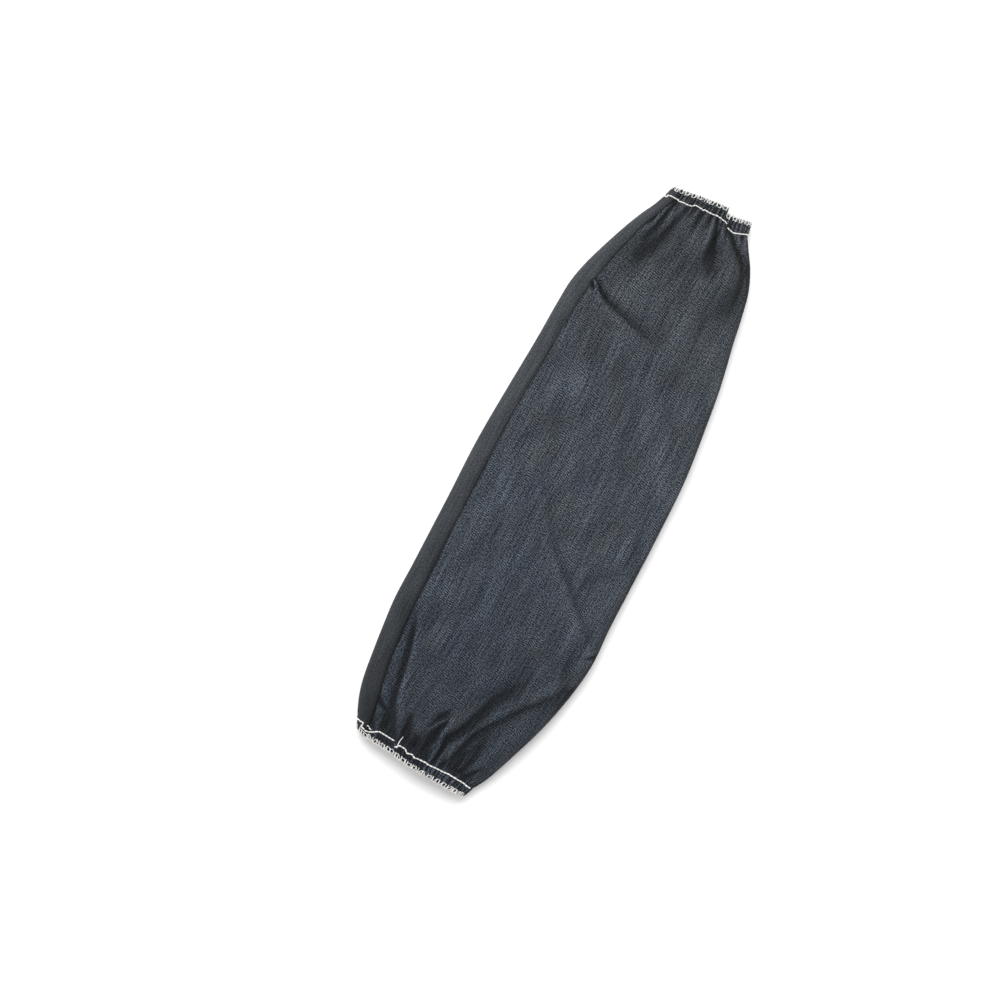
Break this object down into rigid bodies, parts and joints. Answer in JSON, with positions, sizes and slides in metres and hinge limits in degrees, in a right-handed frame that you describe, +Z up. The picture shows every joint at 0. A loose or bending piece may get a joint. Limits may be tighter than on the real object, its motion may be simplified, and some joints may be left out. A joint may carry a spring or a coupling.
{
  "type": "denim welding sleeve",
  "caption": "Denim over-sleeve for welding, a tapered cloth tube lying flat, with a lapped side seam and a gathered elastic mouth at the wrist and the upper arm.",
  "frame": {"origin": "middle of the base, on the surface that the sleeve lies on", "axes": "+Y along the sleeve towards the wrist mouth, +X across it away from the lapped seam, +Z up"},
  "size_m": [0.1483, 0.4572, 0.0301],
  "materials": {
    "denim": "dark indigo twill denim, rigid and unwashed, with faint slub streaks along the length",
    "seam_denim": "dark brown-grey denim strip, smoother than the panel",
    "elastic": "off-white woven elastic tape"
  },
  "bodies": {
    "root": {"sleeve_tube": "denim", "side_seam": "seam_denim", "wrist_elastic": "elastic", "arm_elastic": "elastic"}
  },
  "joints": []
}
